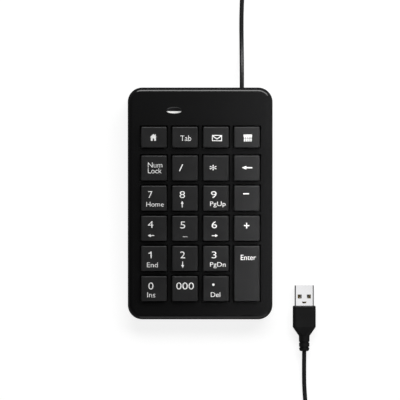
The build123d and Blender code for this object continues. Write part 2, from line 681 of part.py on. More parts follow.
with BuildPart() as plug_contacts:
    # the power pair is longer, so that it meets first
    for x, front in ((-3.5, 1.6), (-1.0, 2.6), (1.0, 2.6), (3.5, 1.6)):
        with BuildSketch(plug_face.offset(front)):
            with Locations((x, -0.04)):
                Rectangle(1.0, 0.2)
        extrude(amount=13.35 - front)
save(plug_contacts, "plug_contacts")

with BuildPart() as plug_overmould:
    grip_front = Plane(origin=(PLUG_X, GRIP_FRONT_Y, PLUG_Z), x_dir=(1, 0, 0), z_dir=(0, -1, 0))
    with BuildSketch(grip_front):
        RectangleRounded(GRIP_W, GRIP_T, 2.2)
    extrude(amount=GRIP_FRONT_Y - GRIP_REAR_Y)
    fillet(plug_overmould.faces().sort_by(Axis.Y)[-1].edges(), 0.9)
    with BuildSketch(grip_front.offset(GRIP_FRONT_Y - GRIP_REAR_Y)):
        RectangleRounded(GRIP_W, GRIP_T, 2.2)
    with BuildSketch(grip_front.offset(GRIP_FRONT_Y - NECK_FRONT_Y)):
        RectangleRounded(6.9, 6.9, 3.2)
    loft()
    # neck with two bending grooves, turned about the cord's axis
    with BuildSketch(Plane(origin=(PLUG_X, 0, PLUG_Z), x_dir=(1, 0, 0), z_dir=(0, 0, 1))):
        Polygon(
            (0, NECK_FRONT_Y + 1),
            (3.4, NECK_FRONT_Y + 1),
            (3.4, NECK_FRONT_Y),
            (3.3, -86.6),
            (2.8, -86.6),
            (2.8, -87.2),
            (3.3, -87.2),
            (3.25, -89.7),
            (2.75, -89.7),
            (2.75, -90.3),
            (3.2, -90.3),
            (3.15, NECK_END_Y + 1.3),
            (2.85, NECK_END_Y + 0.45),
            (2.2, NECK_END_Y),
            (0, NECK_END_Y),
            align=None,
        )
    revolve(axis=Axis((PLUG_X, 0, PLUG_Z), (0, 1, 0)))
    # shallow line round the grip, behind its front edge
    with BuildSketch(grip_front.offset(1.55)):
        RectangleRounded(GRIP_W + 1, GRIP_T + 1, 2.2)
        RectangleRounded(GRIP_W - 0.3, GRIP_T - 0.3, 2.05, mode=Mode.SUBTRACT)
    extrude(amount=0.25, mode=Mode.SUBTRACT)
    with BuildSketch(grip_front):
        RectangleRounded(SHELL_W + 0.04, SHELL_T + 0.04, 0.92)
    extrude(amount=SHELL_L - (PLUG_TIP_Y - GRIP_FRONT_Y) + 0.05, mode=Mode.SUBTRACT)
save(plug_overmould, "plug_overmould")

# ---- the free cord: from the grommet to the hank, the hank with its tie, and on to the plug
FLOOR_Z = CORD_D / 2
HANK_IN_Z = HANK_BOTTOM_Z + CORD_D / 2
HANK_OUT_Z = HANK_IN_Z + (HANK_LAYERS - 1) * CORD_D
LEAD_ROUTE = [
    (CORD_X, REAR_Y, CORD_Z),
    (CORD_X, 81.5, 7.0),
    (26.0, 98.0, FLOOR_Z),
    (25.8, 115.5, FLOOR_Z),
    (26.4, 133.0, FLOOR_Z),
    (26.7, 150.5, HANK_IN_Z),
    (31.3, 158.4, HANK_IN_Z),
    (39.1, HANK_Y + HANK_OUTER_R, HANK_IN_Z),
    (47.7, HANK_Y + HANK_OUTER_R, HANK_IN_Z + 0.1),
]
RETURN_ROUTE = [
    (86.0, HANK_Y + HANK_OUTER_R, HANK_OUT_Z),
    (97.5, 162.7, 6.8),
    (110.5, 159.0, FLOOR_Z),
    (122.0, 150.5, FLOOR_Z),
    (129.3, 136.5, FLOOR_Z),
    (131.8, 116.0, FLOOR_Z),
    (131.0, 84.0, FLOOR_Z),
    (132.2, 40.0, FLOOR_Z),
    (130.9, -8.0, FLOOR_Z),
    (131.9, -54.0, FLOOR_Z),
    (131.6, -96.0, FLOOR_Z),
    (131.4, -121.0, FLOOR_Z),
    (124.5, -139.5, FLOOR_Z),
    (108.5, -149.0, FLOOR_Z),
    (89.5, -150.5, FLOOR_Z),
    (74.5, -144.0, FLOOR_Z),
    (66.6, -131.5, FLOOR_Z),
    (65.2, -116.0, FLOOR_Z),
    (65.1, -102.0, 2.0),
    (PLUG_X, NECK_END_Y, PLUG_Z),
]


def bend_radii(route):
    """The radius of each corner's arc: 0.45 of the shorter run, over the tangent of half the turn."""
    points = [Vector(*p) for p in route]
    radii = []
    for before, corner, after in zip(points, points[1:], points[2:]):
        run_in, run_out = corner - before, after - corner
        turn = math.radians(run_in.get_angle(run_out))
        radii.append(0.45 * min(run_in.length, run_out.length) / math.tan(turn / 2))
    return radii


def make_cord(name, route):
    radii = bend_radii(route)
    with BuildPart() as cord:
        with BuildLine() as path:
            FilletPolyline(*route, radius=radii)
        with BuildSketch(Plane(origin=path.line @ 0, z_dir=path.line % 0)):
            Circle(CORD_D / 2)
        sweep(path=path.line)
    save(cord, name)
    print(name, "length", round(sum(edge.length for edge in path.line.edges()), 1))


make_cord("cord_lead", LEAD_ROUTE)
make_cord("cord_return", RETURN_ROUTE)

hank_place = Plane(origin=(HANK_X, HANK_Y, HANK_BOTTOM_Z))
with BuildPart() as cord_hank:
    with BuildSketch(hank_place):
        SlotCenterToCenter(HANK_RUN, 2 * HANK_OUTER_R + CORD_D)
        SlotCenterToCenter(HANK_RUN, 2 * HANK_INNER_R - CORD_D, mode=Mode.SUBTRACT)
    extrude(amount=HANK_LAYERS * CORD_D)
save(cord_hank, "cord_hank")

# the tie is a band round the whole hank
TIE_T, TIE_GAP = 0.45, 0.05
band_middle = Plane(
    origin=(HANK_X, HANK_Y, HANK_BOTTOM_Z + HANK_LAYERS * CORD_D / 2), x_dir=(0, 1, 0), z_dir=(1, 0, 0)
)
with BuildPart() as cord_tie:
    with BuildSketch(band_middle):
        bundle_w, bundle_h = 2 * HANK_OUTER_R + CORD_D, HANK_LAYERS * CORD_D
        Rectangle(bundle_w + 2 * (TIE_T + TIE_GAP), bundle_h + 2 * (TIE_T + TIE_GAP))
        Rectangle(bundle_w + 2 * TIE_GAP, bundle_h + 2 * TIE_GAP, mode=Mode.SUBTRACT)
    extrude(amount=2.5, both=True)
    fillet(cord_tie.edges().filter_by(Axis.X).group_by(SortBy.DISTANCE)[-1], 0.4)
save(cord_tie, "cord_tie")
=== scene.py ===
"""Looks of the numeric keypad: materials, printed legends, the free cord, and the studio round them."""
import json
import math

import bmesh
import bpy
from mathutils import Matrix, Vector

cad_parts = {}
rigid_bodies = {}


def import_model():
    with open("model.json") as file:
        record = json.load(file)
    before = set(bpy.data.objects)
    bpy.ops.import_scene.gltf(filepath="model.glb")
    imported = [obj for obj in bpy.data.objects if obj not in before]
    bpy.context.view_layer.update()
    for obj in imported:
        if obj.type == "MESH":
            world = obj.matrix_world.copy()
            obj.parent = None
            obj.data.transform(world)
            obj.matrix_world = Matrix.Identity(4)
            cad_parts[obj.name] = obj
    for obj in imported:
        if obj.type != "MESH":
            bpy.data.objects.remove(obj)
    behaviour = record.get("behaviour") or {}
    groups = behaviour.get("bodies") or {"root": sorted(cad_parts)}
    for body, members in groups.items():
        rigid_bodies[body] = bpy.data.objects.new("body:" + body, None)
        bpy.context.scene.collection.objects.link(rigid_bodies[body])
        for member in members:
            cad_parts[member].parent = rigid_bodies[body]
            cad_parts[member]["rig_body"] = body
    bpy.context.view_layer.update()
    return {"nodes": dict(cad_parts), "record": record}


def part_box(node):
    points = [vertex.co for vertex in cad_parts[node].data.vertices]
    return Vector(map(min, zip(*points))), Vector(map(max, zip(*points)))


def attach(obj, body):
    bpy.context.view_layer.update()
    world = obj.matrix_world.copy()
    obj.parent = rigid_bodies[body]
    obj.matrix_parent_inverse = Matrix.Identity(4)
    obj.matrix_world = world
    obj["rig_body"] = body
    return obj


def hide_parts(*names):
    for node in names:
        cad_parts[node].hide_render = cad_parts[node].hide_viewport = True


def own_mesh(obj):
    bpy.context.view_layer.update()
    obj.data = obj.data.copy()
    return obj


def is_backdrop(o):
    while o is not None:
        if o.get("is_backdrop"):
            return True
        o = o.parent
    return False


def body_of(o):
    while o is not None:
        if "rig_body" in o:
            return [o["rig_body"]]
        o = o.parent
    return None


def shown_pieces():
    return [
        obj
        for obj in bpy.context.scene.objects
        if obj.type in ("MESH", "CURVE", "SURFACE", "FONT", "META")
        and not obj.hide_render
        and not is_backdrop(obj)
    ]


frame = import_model()

MM = 0.001
UP = -Vector(next(j for j in frame["record"]["behaviour"]["joints"] if j["name"] == "key_5_press")["axis"])
TILT = math.atan2(-UP.y, UP.z)
DECK = Matrix.Rotation(TILT, 4, "X")


def in_deck(node):
    """Lowest and highest corner of a CAD node along the deck's own axes, in metres."""
    turn_back = DECK.inverted()
    corners = [turn_back @ vertex.co for vertex in frame["nodes"][node].data.vertices]
    low = Vector(min(c[axis] for c in corners) for axis in range(3))
    high = Vector(max(c[axis] for c in corners) for axis in range(3))
    return low, high


# ---- materials
def new_material(name):
    """A Principled material, with its nodes, its links, its shader and the place on the object."""
    material = bpy.data.materials.new(name)
    material.use_nodes = True
    tree = material.node_tree
    shader = next(node for node in tree.nodes if node.type == "BSDF_PRINCIPLED")
    place = tree.nodes.new("ShaderNodeTexCoord").outputs["Object"]
    return material, tree, shader, place


def noise(tree, place, size, detail=3.0, stretch=None):
    """Noise between 0 and 1, with features of about that size in metres."""
    if stretch:
        mapping = tree.nodes.new("ShaderNodeMapping")
        mapping.inputs["Scale"].default_value = stretch
        tree.links.new(place, mapping.inputs["Vector"])
        place = mapping.outputs["Vector"]
    node = tree.nodes.new("ShaderNodeTexNoise")
    node.inputs["Scale"].default_value = 1 / size
    node.inputs["Detail"].default_value = detail
    tree.links.new(place, node.inputs["Vector"])
    return node.outputs["Fac"]


def spread(tree, value, low, high, start=0.3, end=0.7):
    """The value, taken from between start and end to between low and high."""
    node = tree.nodes.new("ShaderNodeMapRange")
    tree.links.new(value, node.inputs["Value"])
    for name, number in (("From Min", start), ("From Max", end), ("To Min", low), ("To Max", high)):
        node.inputs[name].default_value = number
    return node.outputs["Result"]


def tinted(tree, factor, dark, light):
    """A colour between two others."""
    node = tree.nodes.new("ShaderNodeMix")
    node.data_type = "RGBA"
    node.inputs["A"].default_value = (*dark, 1)
    node.inputs["B"].default_value = (*light, 1)
    tree.links.new(factor, node.inputs["Factor"])
    return node.outputs["Result"]


def bumped(tree, shader, height, depth):
    node = tree.nodes.new("ShaderNodeBump")
    node.inputs["Distance"].default_value = depth
    node.inputs["Strength"].default_value = 1.0
    tree.links.new(height, node.inputs["Height"])
    tree.links.new(node.outputs["Normal"], shader.inputs["Normal"])


def moulded(name, color, rough, tone=0.12, tone_size=0.02, span=0.05, grain=0.0003, depth=4e-6,
            stretch=None, **sockets):
    """Plastic, rubber or metal: its tone and gloss vary a little, and its skin has a fine grain."""
    material, tree, shader, place = new_material(name)
    for socket, value in sockets.items():
        shader.inputs[socket.replace("_", " ")].default_value = value
    factor = spread(tree, noise(tree, place, tone_size), 0, 1)
    dark, light = ([c * (1 + side * tone) for c in color] for side in (-1, 1))
    tree.links.new(tinted(tree, factor, dark, light), shader.inputs["Base Color"])
    gloss = noise(tree, place, tone_size * 0.4, detail=4.0, stretch=stretch)
    tree.links.new(spread(tree, gloss, rough - span, rough + span), shader.inputs["Roughness"])
    bumped(tree, shader, noise(tree, place, grain, detail=2.0, stretch=stretch), depth)
    return material


def brushed(name, color, rough, along):
    """Rolled or drawn metal, with fine lines along one axis."""
    stretch = [1.0, 1.0, 1.0]
    stretch["XYZ".index(along)] = 0.02
    return moulded(name, color, rough, tone=0.06, span=0.07, grain=0.00012, depth=1.5e-6,
                   stretch=tuple(stretch), Metallic=1.0)


def see_through(name, color, rough, alpha):
    """Thin film or silicone that lets part of what is under it show."""
    return moulded(name, color, rough, tone=0.04, Alpha=alpha)


def woven(name, color):
    """A narrow band woven from black yarn."""
    material, tree, shader, place = new_material(name)
    ribs = tree.nodes.new("ShaderNodeTexWave")
    ribs.bands_direction = "Y"
    ribs.inputs["Scale"].default_value = 700.0
    ribs.inputs["Distortion"].default_value = 0.6
    tree.links.new(place, ribs.inputs["Vector"])
    light = [c * 2.2 for c in color]
    tree.links.new(tinted(tree, ribs.outputs["Fac"], color, light), shader.inputs["Base Color"])
    fuzz = noise(tree, place, 0.0004)
    tree.links.new(spread(tree, fuzz, 0.75, 0.95), shader.inputs["Roughness"])
    shader.inputs["Sheen Weight"].default_value = 0.3
    bumped(tree, shader, ribs.outputs["Fac"], 6e-5)
    return material


FINISHES = {
    "cover_gloss": moulded("piano black", (0.006, 0.006, 0.0062), 0.13, tone_size=0.05, span=0.025,
                           grain=0.004, depth=2e-6),
    "case_black": moulded("eroded black", (0.018, 0.018, 0.0185), 0.5, grain=0.00035, depth=2e-5),
    "key_black": moulded("satin black", (0.018, 0.018, 0.0184), 0.34, tone_size=0.012, grain=0.0006,
                         depth=8e-6),
    "frame_black": moulded("frame black", (0.02, 0.02, 0.02), 0.55),
    "wire_steel": brushed("spring steel", (0.55, 0.55, 0.56), 0.3, "Y"),
    "silicone": see_through("dome silicone", (0.78, 0.79, 0.79), 0.45, 0.85),
    "membrane_film": see_through("polyester film", (0.78, 0.8, 0.8), 0.2, 0.5),
    "plate_steel": brushed("galvanised sheet", (0.6, 0.61, 0.62), 0.38, "Y"),
    "screw_steel": moulded("zinc screws", (0.6, 0.6, 0.61), 0.32, Metallic=1.0),
    "screw_black": moulded("black screws", (0.05, 0.05, 0.05), 0.42, Metallic=0.8),
    "board_green": moulded("solder mask", (0.012, 0.1, 0.035), 0.3, tone=0.2, tone_size=0.004),
    "epoxy_black": moulded("epoxy", (0.012, 0.012, 0.012), 0.25),
    "component_tin": moulded("tin", (0.62, 0.6, 0.55), 0.35, Metallic=0.9),
    "led_clear": moulded("LED lens", (0.8, 0.82, 0.76), 0.15),
    "strip_rubber": moulded("strip rubber", (0.05, 0.05, 0.05), 0.8),
    "header_white": moulded("header nylon", (0.76, 0.75, 0.7), 0.5),
    "wire_red": moulded("red PVC", (0.42, 0.012, 0.012), 0.45),
    "wire_white": moulded("white PVC", (0.74, 0.74, 0.72), 0.45),
    "wire_green": moulded("green PVC", (0.012, 0.22, 0.04), 0.45),
    "wire_black": moulded("black PVC", (0.015, 0.015, 0.015), 0.45),
    "window_smoked": moulded("smoked acrylic", (0.012, 0.012, 0.013), 0.05, span=0.01, depth=5e-7,
                             Coat_Weight=0.5, Coat_Roughness=0.03),
    "foot_rubber": moulded("foot rubber", (0.022, 0.022, 0.022), 0.75, grain=0.0005, depth=2e-5),
    "label_silver": moulded("label film", (0.5, 0.51, 0.52), 0.4, tone=0.05, Metallic=0.5),
    "cord_pvc": moulded("cord PVC", (0.014, 0.014, 0.0145), 0.36, grain=0.0006, depth=8e-6),
    "tie_band": woven("tie weave", (0.012, 0.012, 0.012)),
    "plug_grip": moulded("grip PVC", (0.007, 0.007, 0.0072), 0.45, grain=0.0005, depth=1.2e-5,
                         Specular_IOR_Level=0.35),
    "plug_nickel": brushed("nickel plate", (0.78, 0.78, 0.79), 0.22, "Y"),
    "plug_nylon": moulded("plug nylon", (0.8, 0.8, 0.78), 0.45),
    "contact_gold": moulded("gold flash", (0.83, 0.62, 0.28), 0.25, Metallic=1.0),
}
for subpart in frame["record"]["subparts"]:
    for material_slot in frame["nodes"][subpart["node"]].material_slots:
        material_slot.material = FINISHES[subpart["material_slot"]]
# the legends' print ink, which also paints the highlight line on the 5 key's homing bar
ink = moulded("legend ink and painted highlight", (0.88, 0.88, 0.87), 0.5, tone=0.05, tone_size=0.003, depth=2e-6)
# painted reflection: a pale colour for the bright crescent that the status window's dish mirrors from the
# rear light
painted_reflection = moulded("painted reflection", (0.66, 0.66, 0.65), 0.3, tone=0.03)


# ---- pieces that are not CAD meshes
def mesh_from(name, surface):
    mesh = bpy.data.meshes.new(name)
    surface.to_mesh(mesh)
    surface.free()
    return mesh


def add_piece(name, data, material, body):
    """A piece that rides on a body, with the finish it is given."""
    data.materials.append(material)
    piece = bpy.data.objects.new(name, data)
    bpy.context.scene.collection.objects.link(piece)
    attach(piece, body)
    return piece


# ---- printed legends, and a painted highlight on the homing bar of the 5 key; sizes in millimetres from the middle of the key, x to the right and y to the rear
INK_T, INK_LIFT = 0.02, 0.002
STROKE_TRIM = 0.004
HOMING_H = 0.35
CAP_TOP = in_deck("key_1")[1].z


def meshed(curve):
    """A curve's or text's filled outline as mesh data."""
    curve.extrude = INK_T / 2
    holder = bpy.data.objects.new("outline", curve)
    mesh = bpy.data.meshes.new_from_object(holder)
    bpy.data.objects.remove(holder)
    bpy.data.curves.remove(curve)
    return mesh


def lettering(text, thinner=0.0):
    """Filled text, with each stroke made thinner by that share of the type's size at both sides."""
    curve = bpy.data.curves.new("lettering", "FONT")
    curve.body = text
    curve.offset = -thinner
    curve.resolution_u = 4
    mesh = meshed(curve)
    across = [vertex.co.x for vertex in mesh.vertices]
    upward = [vertex.co.y for vertex in mesh.vertices]
    return mesh, min(across), max(across), min(upward), max(upward)


CAPITAL_H = lettering("H")[4]


def placed(mesh, scale_x, scale_y, x, y):
    mesh.transform(Matrix.Translation((x, y, 0)) @ Matrix.Diagonal((scale_x, scale_y, 1, 1)))
    return mesh


def word(text, left, baseline, width, height):
    """A word or number; the height is that of its capitals."""
    mesh, start, end, lowest, highest = lettering(text, STROKE_TRIM)
    stretch = width / (end - start)
    return placed(mesh, stretch, height / CAPITAL_H, left - start * stretch, baseline)


def sign(text, x, y, width, height):
    """A single sign, centred on its own outline."""
    mesh, start, end, lowest, highest = lettering(text)
    across, upward = width / (end - start), height / (highest - lowest)
    return placed(mesh, across, upward, x - (start + end) / 2 * across, y - (lowest + highest) / 2 * upward)


def shape(*loops, x=0.0, y=0.0, turn=0.0):
    """Filled outlines; a loop inside another one is a hole."""
    curve = bpy.data.curves.new("shape", "CURVE")
    curve.dimensions = "2D"
    curve.fill_mode = "BOTH"
    for loop in loops:
        spline = curve.splines.new("POLY")
        spline.points.add(len(loop) - 1)
        for point, (across, upward) in zip(spline.points, loop):
            point.co = (across, upward, 0, 1)
        spline.use_cyclic_u = True
    mesh = meshed(curve)
    mesh.transform(Matrix.Translation((x, y, 0)) @ Matrix.Rotation(math.radians(turn), 4, "Z"))
    return mesh


def rectangle(x, y, width, height):
    return [(x + i * width / 2, y + j * height / 2) for i, j in ((-1, -1), (1, -1), (1, 1), (-1, 1))]


def arrow(x, y, length, head_l, head_w, shaft, turn):
    """An arrow that points to the right before it is turned."""
    tip, neck, side = length / 2, length / 2 - head_l, shaft / 2
    upper = [(-tip, side), (neck, side), (neck, head_w / 2), (tip, 0)]
    lower = [(across, -upward) for across, upward in reversed(upper[:-1])]
    return shape(upper + lower, x=x, y=y, turn=turn)


def dot(x, y, diameter):
    steps = [2 * math.pi * step / 24 for step in range(24)]
    return shape([(diameter / 2 * math.cos(a), diameter / 2 * math.sin(a)) for a in steps], x=x, y=y)


def house(x, y):
    roof_and_walls = [
        (-2.2, 0.1), (0, 2.15), (0.95, 1.27), (0.95, 1.9), (1.5, 1.9), (1.5, 0.75), (2.2, 0.1), (1.6, 0.1),
        (1.6, -2.15), (0.5, -2.15), (0.5, -0.7), (-0.5, -0.7), (-0.5, -2.15), (-1.6, -2.15), (-1.6, 0.1),
    ]
    return shape(roof_and_walls, x=x, y=y)


def envelope(x, y):
    flap = [(-2.3, 1.45), (2.3, 1.45), (0, -0.3)]
    pocket = [(-2.65, 1.0), (0, -0.95), (2.65, 1.0), (2.65, -1.45), (-2.65, -1.45)]
    return shape(rectangle(0, 0, 6.2, 3.8), flap, pocket, x=x, y=y)


def adding_machine(x, y):
    display = rectangle(0, 1.4, 5.25, 1.4)
    buttons = [rectangle(-1.98 + column * 1.32, 0.1 - row * 0.95, 0.95, 0.62)
               for column in range(4) for row in range(3)]
    return shape(display, *buttons, x=x, y=y)


def figure_one(x, y):
    """A 1 without a foot, from its lower left corner."""
    stem_and_flag = [
        (1.36, 0), (2.06, 0), (2.06, 4.25), (1.5, 4.25), (1.1, 3.66), (0, 3.32), (0, 2.82), (1.36, 2.96),
    ]
    return shape(stem_and_flag, x=x, y=y)


def homing_painted_highlight():
    """A thin pale line on top of the raised bar of the 5 key: a painted highlight where the bar's rounded
    top would catch the rear light.
    """
    mesh = shape(rectangle(0.2, -5.2, 3.0, 0.2))
    mesh.transform(Matrix.Translation((0, 0, HOMING_H)))
    return mesh


# each key's marks, with their places and sizes
ARROW = {"length": 4.06, "head_l": 1.8, "head_w": 1.9, "shaft": 0.5}
LEGENDS = {
    "home": [house(-0.28, -0.06)],
    "tab": [word("Tab", -2.8, -2.2, 6.75, 3.3)],
    "mail": [envelope(0.69, -0.5)],
    "calculator": [adding_machine(0.6, -0.44)],
    "num_lock": [word("Num", -3.72, 0.38, 9.0, 3.2), word("Lock", -3.72, -3.25, 8.6, 3.2)],
    "divide": [sign("/", -2.4, 0.2, 2.75, 4.2)],
    "multiply": [sign("*", -1.7, 0.3, 4.2, 3.5)],
    "backspace": [arrow(0.12, 0.25, 6.56, 2.8, 2.4, 0.7, 180)],
    "7": [word("7", -3.6, 0.2, 2.75, 4.25), word("Home", -4.72, -5.2, 10.9, 2.95)],
    "8": [word("8", -3.3, 0.2, 3.4, 4.25), arrow(-1.66, -3.68, **ARROW, turn=90)],
    "9": [word("9", -3.03, 0.2, 3.5, 4.25), word("PgUp", -3.6, -4.84, 9.7, 2.81)],
    "minus": [shape(rectangle(-0.48, 2.84, 3.6, 0.68))],
    "4": [word("4", -3.78, 0.4, 3.4, 4.25), arrow(-1.75, -4.44, **ARROW, turn=180)],
    # the 5 key's printed figure, and the painted highlight line on its homing bar
    "5": [word("5", -2.94, 0.06, 3.2, 4.25), homing_painted_highlight()],
    "6": [word("6", -2.66, 0.2, 3.4, 4.25), arrow(-0.63, -4.5, **ARROW, turn=0)],
    "plus": [shape(rectangle(-0.12, 1.78, 3.44, 0.65)), shape(rectangle(-0.12, 1.78, 0.65, 3.44))],
    "1": [figure_one(-3.47, 0.2), word("End", -4.34, -5.44, 6.75, 3.06)],
    "2": [word("2", -2.94, 0.2, 3.1, 4.25), arrow(-1.4, -3.84, **ARROW, turn=270)],
    "3": [word("3", -2.6, 0.2, 3.0, 4.25), word("PgDn", -3.6, -5.06, 9.7, 2.81)],
    "enter": [word("Enter", -3.78, 8.6, 9.44, 3.2)],
    "0": [word("0", -3.47, -0.4, 3.2, 4.3), word("Ins", -4.16, -5.4, 5.0, 3.2)],
    "triple_zero": [word("000", -5.38, -0.4, 11.0, 4.3)],
    "decimal": [dot(-1.6, 2.6, 1.55), word("Del", -3.16, -5.16, 5.9, 2.94)],
}


def print_legend(key, marks):
    """Joins the marks, which it uses up, and prints them on the key's top."""
    low, high = in_deck(f"key_{key}")
    middle = Vector(((low.x + high.x) / 2, (low.y + high.y) / 2, CAP_TOP + (INK_LIFT + INK_T / 2) * MM))
    joined = bmesh.new()
    for mesh in marks:
        joined.from_mesh(mesh)
        bpy.data.meshes.remove(mesh)
    bmesh.ops.remove_doubles(joined, verts=joined.verts, dist=1e-4)
    joined.transform(DECK @ Matrix.Translation(middle) @ Matrix.Scale(MM, 4))
    name = f"legend_{key}"
    add_piece(name, mesh_from(name, joined), ink, f"key_{key}")


for key, marks in LEGENDS.items():
    print_legend(key, marks)


# ---- the silicone domes: each is its own piece, one under each key
DOME_FOOT_R, SHEET_T = 3.95 * MM, 0.4 * MM


def cut_level(surface, height, **cleared):
    """Cuts a surface in the deck's own axes at a height, and clears one side of the cut."""
    everything = surface.verts[:] + surface.edges[:] + surface.faces[:]
    bmesh.ops.bisect_plane(surface, geom=everything, plane_co=(0, 0, height), plane_no=(0, 0, 1), **cleared)


def silicone_piece(name, surface):
    surface.transform(DECK)
    return add_piece(name, mesh_from(name, surface), FINISHES["silicone"], "case")


def split_domes():
    """The dome sheet's own surface, cut at the sheet's top: one piece for each dome, and the sheet."""
    sheet_top = in_deck("dome_sheet")[0].z + SHEET_T
    whole = bmesh.new()
    whole.from_mesh(frame["nodes"]["dome_sheet"].data)
    whole.transform(DECK.inverted())
    for key in LEGENDS:
        low, high = in_deck(f"key_{key}")
        middle = (low + high) / 2
        part = whole.copy()
        cut_level(part, sheet_top, clear_inner=True)
        far = [v for v in part.verts if math.hypot(v.co.x - middle.x, v.co.y - middle.y) > DOME_FOOT_R]
        bmesh.ops.delete(part, geom=far, context="VERTS")
        dome = silicone_piece(f"dome_{key}", part)
        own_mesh(dome)
    cut_level(whole, sheet_top, clear_outer=True)
    flat_sheet = silicone_piece("dome_sheet_flat", whole)
    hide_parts("dome_sheet")


split_domes()


# ---- painted reflection: a pale band in the front part of the status window, on its dished face, where the dish would mirror the rear light
def window_painted_reflection():
    low, high = in_deck("led_window")
    middle = (low + high) / 2
    flange, rim, dish_depth, skin = 0.8 * MM, 0.35 * MM, 1.1 * MM, 0.03 * MM
    reach_x, reach_y = (high.x - low.x) / 2 - flange, (high.y - low.y) / 2 - flange
    chord, lowest = -0.7 * MM, 0.82 * reach_y
    half_width, fullness = 0.95 * reach_x, 0.8
    columns, rows = 40, 8
    surface = bmesh.new()
    grid = []
    for column in range(columns + 1):
        angle = math.pi * column / columns
        x = half_width * math.cos(angle)
        edge = chord - (lowest + chord) * math.sin(angle) ** fullness
        line = []
        for row in range(rows + 1):
            y = min(chord, chord + (edge - chord) * row / rows)
            inside = 1 - (x / (reach_x - rim)) ** 2 - (y / (reach_y - rim)) ** 2
            h = high.z + skin - (dish_depth * math.sqrt(inside) if inside > 0 else 0)
            line.append(surface.verts.new(DECK @ Vector((middle.x + x, middle.y + y, h))))
        grid.append(line)
    for near, far in zip(grid, grid[1:]):
        for i in range(rows):
            surface.faces.new((near[i], near[i + 1], far[i + 1], far[i]))
    bmesh.ops.recalc_face_normals(surface, faces=surface.faces)
    mesh = mesh_from("window_painted_reflection", surface)
    for face in mesh.polygons:
        face.use_smooth = True
    add_piece("window_painted_reflection", mesh, painted_reflection, "case")


window_painted_reflection()


# ---- the free cord; millimetres until it is built
CORD_D = 2.7
PLUG = ("plug_overmould", "plug_shell", "plug_insulator", "plug_contacts")
HANK_X, HANK_Y, HANK_BOTTOM_Z = 66.5, 152.0, 0.5
HANK_RUN, INNER, OUTER = 40.0, 8.3, 11.0
# the CAD cord's own way, up to the hank and on from it
LEAD_ROUTE = [
    (26.1, 72.5, 7.0),
    (26.1, 81.5, 7.0),
    (26.0, 98.0, 1.35),
    (25.8, 115.5, 1.35),
    (26.4, 133.0, 1.35),
    (26.7, 150.5, 1.85),
    (31.3, 158.4, 1.85),
    (39.1, 163.0, 1.85),
]
RETURN_ROUTE = [
    (97.5, 162.7, 6.8),
    (110.5, 159.0, 1.35),
    (122.0, 150.5, 1.35),
    (129.3, 136.5, 1.35),
    (131.8, 116.0, 1.35),
    (131.0, 84.0, 1.35),
    (132.2, 40.0, 1.35),
    (130.9, -8.0, 1.35),
    (131.9, -54.0, 1.35),
    (131.6, -96.0, 1.35),
    (131.4, -121.0, 1.35),
    (124.5, -139.5, 1.35),
    (108.5, -149.0, 1.35),
    (89.5, -150.5, 1.35),
    (74.5, -144.0, 1.35),
    (66.6, -131.5, 1.35),
    (65.2, -116.0, 1.35),
    (65.1, -102.0, 2.0),
    (65.2, -92.5, 4.0),
]
# each turn's radius and layer along the rear run, then at the start, middle and end of the front run
HANK_TURNS = (
    ((OUTER, 0), (OUTER, 0), (OUTER, 0), (OUTER, 0)),
    ((INNER, 0), (INNER, 0), (INNER, 0), (INNER, 1)),
    ((INNER, 1), (INNER, 1), (OUTER, 1), (OUTER, 1)),
    ((OUTER, 1), (OUTER, 2), (OUTER, 2), (OUTER, 2)),
)
HANK_END = (OUTER, 2)
BEND_STEPS = 6
HALF_STEP = math.pi / BEND_STEPS / 2


def hank_point(x, y, layer):
    return (HANK_X + x, HANK_Y + y, HANK_BOTTOM_Z + CORD_D * (layer + 0.5))


def hank_run(stations, side):
    """Three points of a straight run. Side 1 is the rear run, to the right, and -1 the front run, back."""
    points = []
    for step, (radius, layer) in enumerate(stations):
        reach = HANK_RUN / 2 - radius * math.tan(HALF_STEP)
        points.append(hank_point(side * (step - 1) * reach, side * radius, layer))
    return points


def hank_bend(start, end, side):
    """A half circle round the right end, side 1, or the left end, side -1, clockwise seen from above."""
    points = []
    for step in range(BEND_STEPS):
        share = (step + 0.5) / BEND_STEPS
        radius = (start[0] + (end[0] - start[0]) * share) / math.cos(HALF_STEP)
        angle = math.pi * (0.5 - share)
        layer = start[1] + (end[1] - start[1]) * share
        x, y = HANK_RUN / 2 + radius * math.cos(angle), radius * math.sin(angle)
        points.append(hank_point(side * x, side * y, layer))
    return points


def hank_route():
    points = []
    rears = [turn[0] for turn in HANK_TURNS[1:]] + [HANK_END]
    for (rear, *front), next_rear in zip(HANK_TURNS, rears):
        points += hank_run([rear] * 3, 1) + hank_bend(rear, front[0], 1)
        points += hank_run(front, -1) + hank_bend(front[-1], next_rear, -1)
    return points + hank_run([HANK_END] * 3, 1)


def make_cord():
    route = LEAD_ROUTE + hank_route() + RETURN_ROUTE
    curve = bpy.data.curves.new("cord", "CURVE")
    curve.dimensions = "3D"
    spline = curve.splines.new("NURBS")
    spline.points.add(len(route) - 1)
    for point, place in zip(spline.points, route):
        point.co = (*(value * MM for value in place), 1)
    spline.order_u = 3
    spline.use_endpoint_u = True
    curve.resolution_u = 8
    curve.bevel_depth = CORD_D / 2 * MM
    curve.bevel_resolution = 6
    curve.use_fill_caps = True
    cord = add_piece("cord", curve, FINISHES["cord_pvc"], "case")
    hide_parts("cord_lead", "cord_hank", "cord_return")


make_cord()


# ---- studio: camera straight above, pale floor, and large soft lights
def make_camera():
    data = bpy.data.cameras.new("camera")
    data.lens = 900
    data.sensor_width = 36
    data.clip_end = 20
    camera = bpy.data.objects.new("camera", data)
    camera.location = (-0.0001, 0.0022, 6.27)
    bpy.context.scene.collection.objects.link(camera)
    bpy.context.scene.camera = camera


